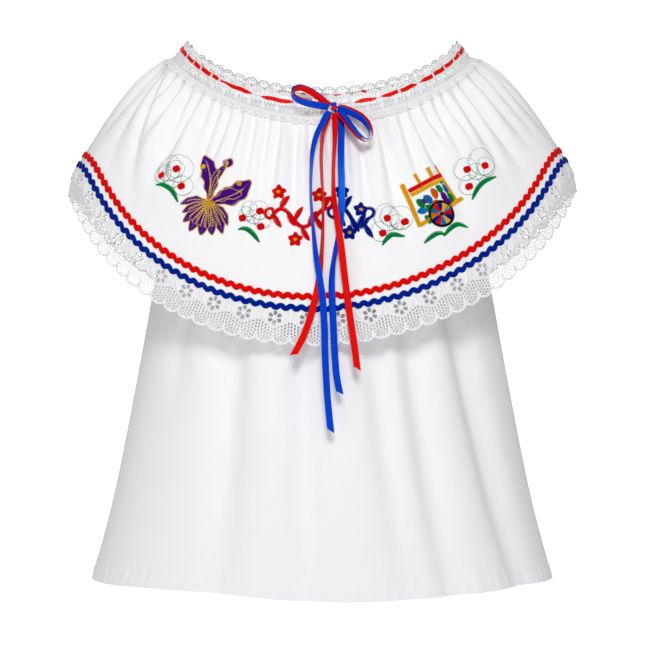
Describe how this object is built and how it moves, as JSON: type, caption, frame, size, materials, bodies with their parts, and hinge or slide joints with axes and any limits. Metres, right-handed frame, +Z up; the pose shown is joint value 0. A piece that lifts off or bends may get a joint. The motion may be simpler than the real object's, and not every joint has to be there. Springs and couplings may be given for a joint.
{
  "type": "embroidered blouse",
  "caption": "Off-the-shoulder A-line blouse with a deep gathered flounce, scalloped cutwork lace, zigzag braid and a lace neckline threaded with a ribbon tied in a bow.",
  "frame": {"origin": "centre of the neck opening, level with the neck seam at the shoulders, where the wearer's shoulders hold the blouse", "axes": "+Z up towards the wearer's head, -Y towards the front with the bow, +X towards the wearer's left side"},
  "size_m": [0.5072, 0.2765, 0.5483],
  "materials": {
    "cotton": "white plain-weave cotton, matt",
    "lace": "white cotton lace, matt",
    "red_ribbon": "red satin ribbon",
    "blue_ribbon": "royal blue satin ribbon",
    "red_braid": "red zigzag braid, matt",
    "blue_braid": "navy zigzag braid, matt",
    "embroidery": "bright satin-stitched embroidery thread, in several colours"
  },
  "bodies": {
    "root": {"body_front": "cotton", "body_back": "cotton", "flounce_front": "cotton", "flounce_back": "cotton", "flounce_lace_front": "lace", "flounce_lace_back": "lace", "neck_lace_front": "lace", "neck_lace_back": "lace", "rickrack_red_front": "red_braid", "rickrack_red_back": "red_braid", "rickrack_blue_front": "blue_braid", "rickrack_blue_back": "blue_braid", "neck_ribbon_front": "red_ribbon", "neck_ribbon_back": "red_ribbon", "bow_left_red": "red_ribbon", "bow_left_blue": "blue_ribbon", "bow_right_red": "red_ribbon", "bow_right_blue": "blue_ribbon", "tail_blue_left": "blue_ribbon", "tail_red_left": "red_ribbon", "tail_red_right": "red_ribbon", "tail_blue_right": "blue_ribbon", "bow_knot": "blue_ribbon"}
  },
  "joints": []
}
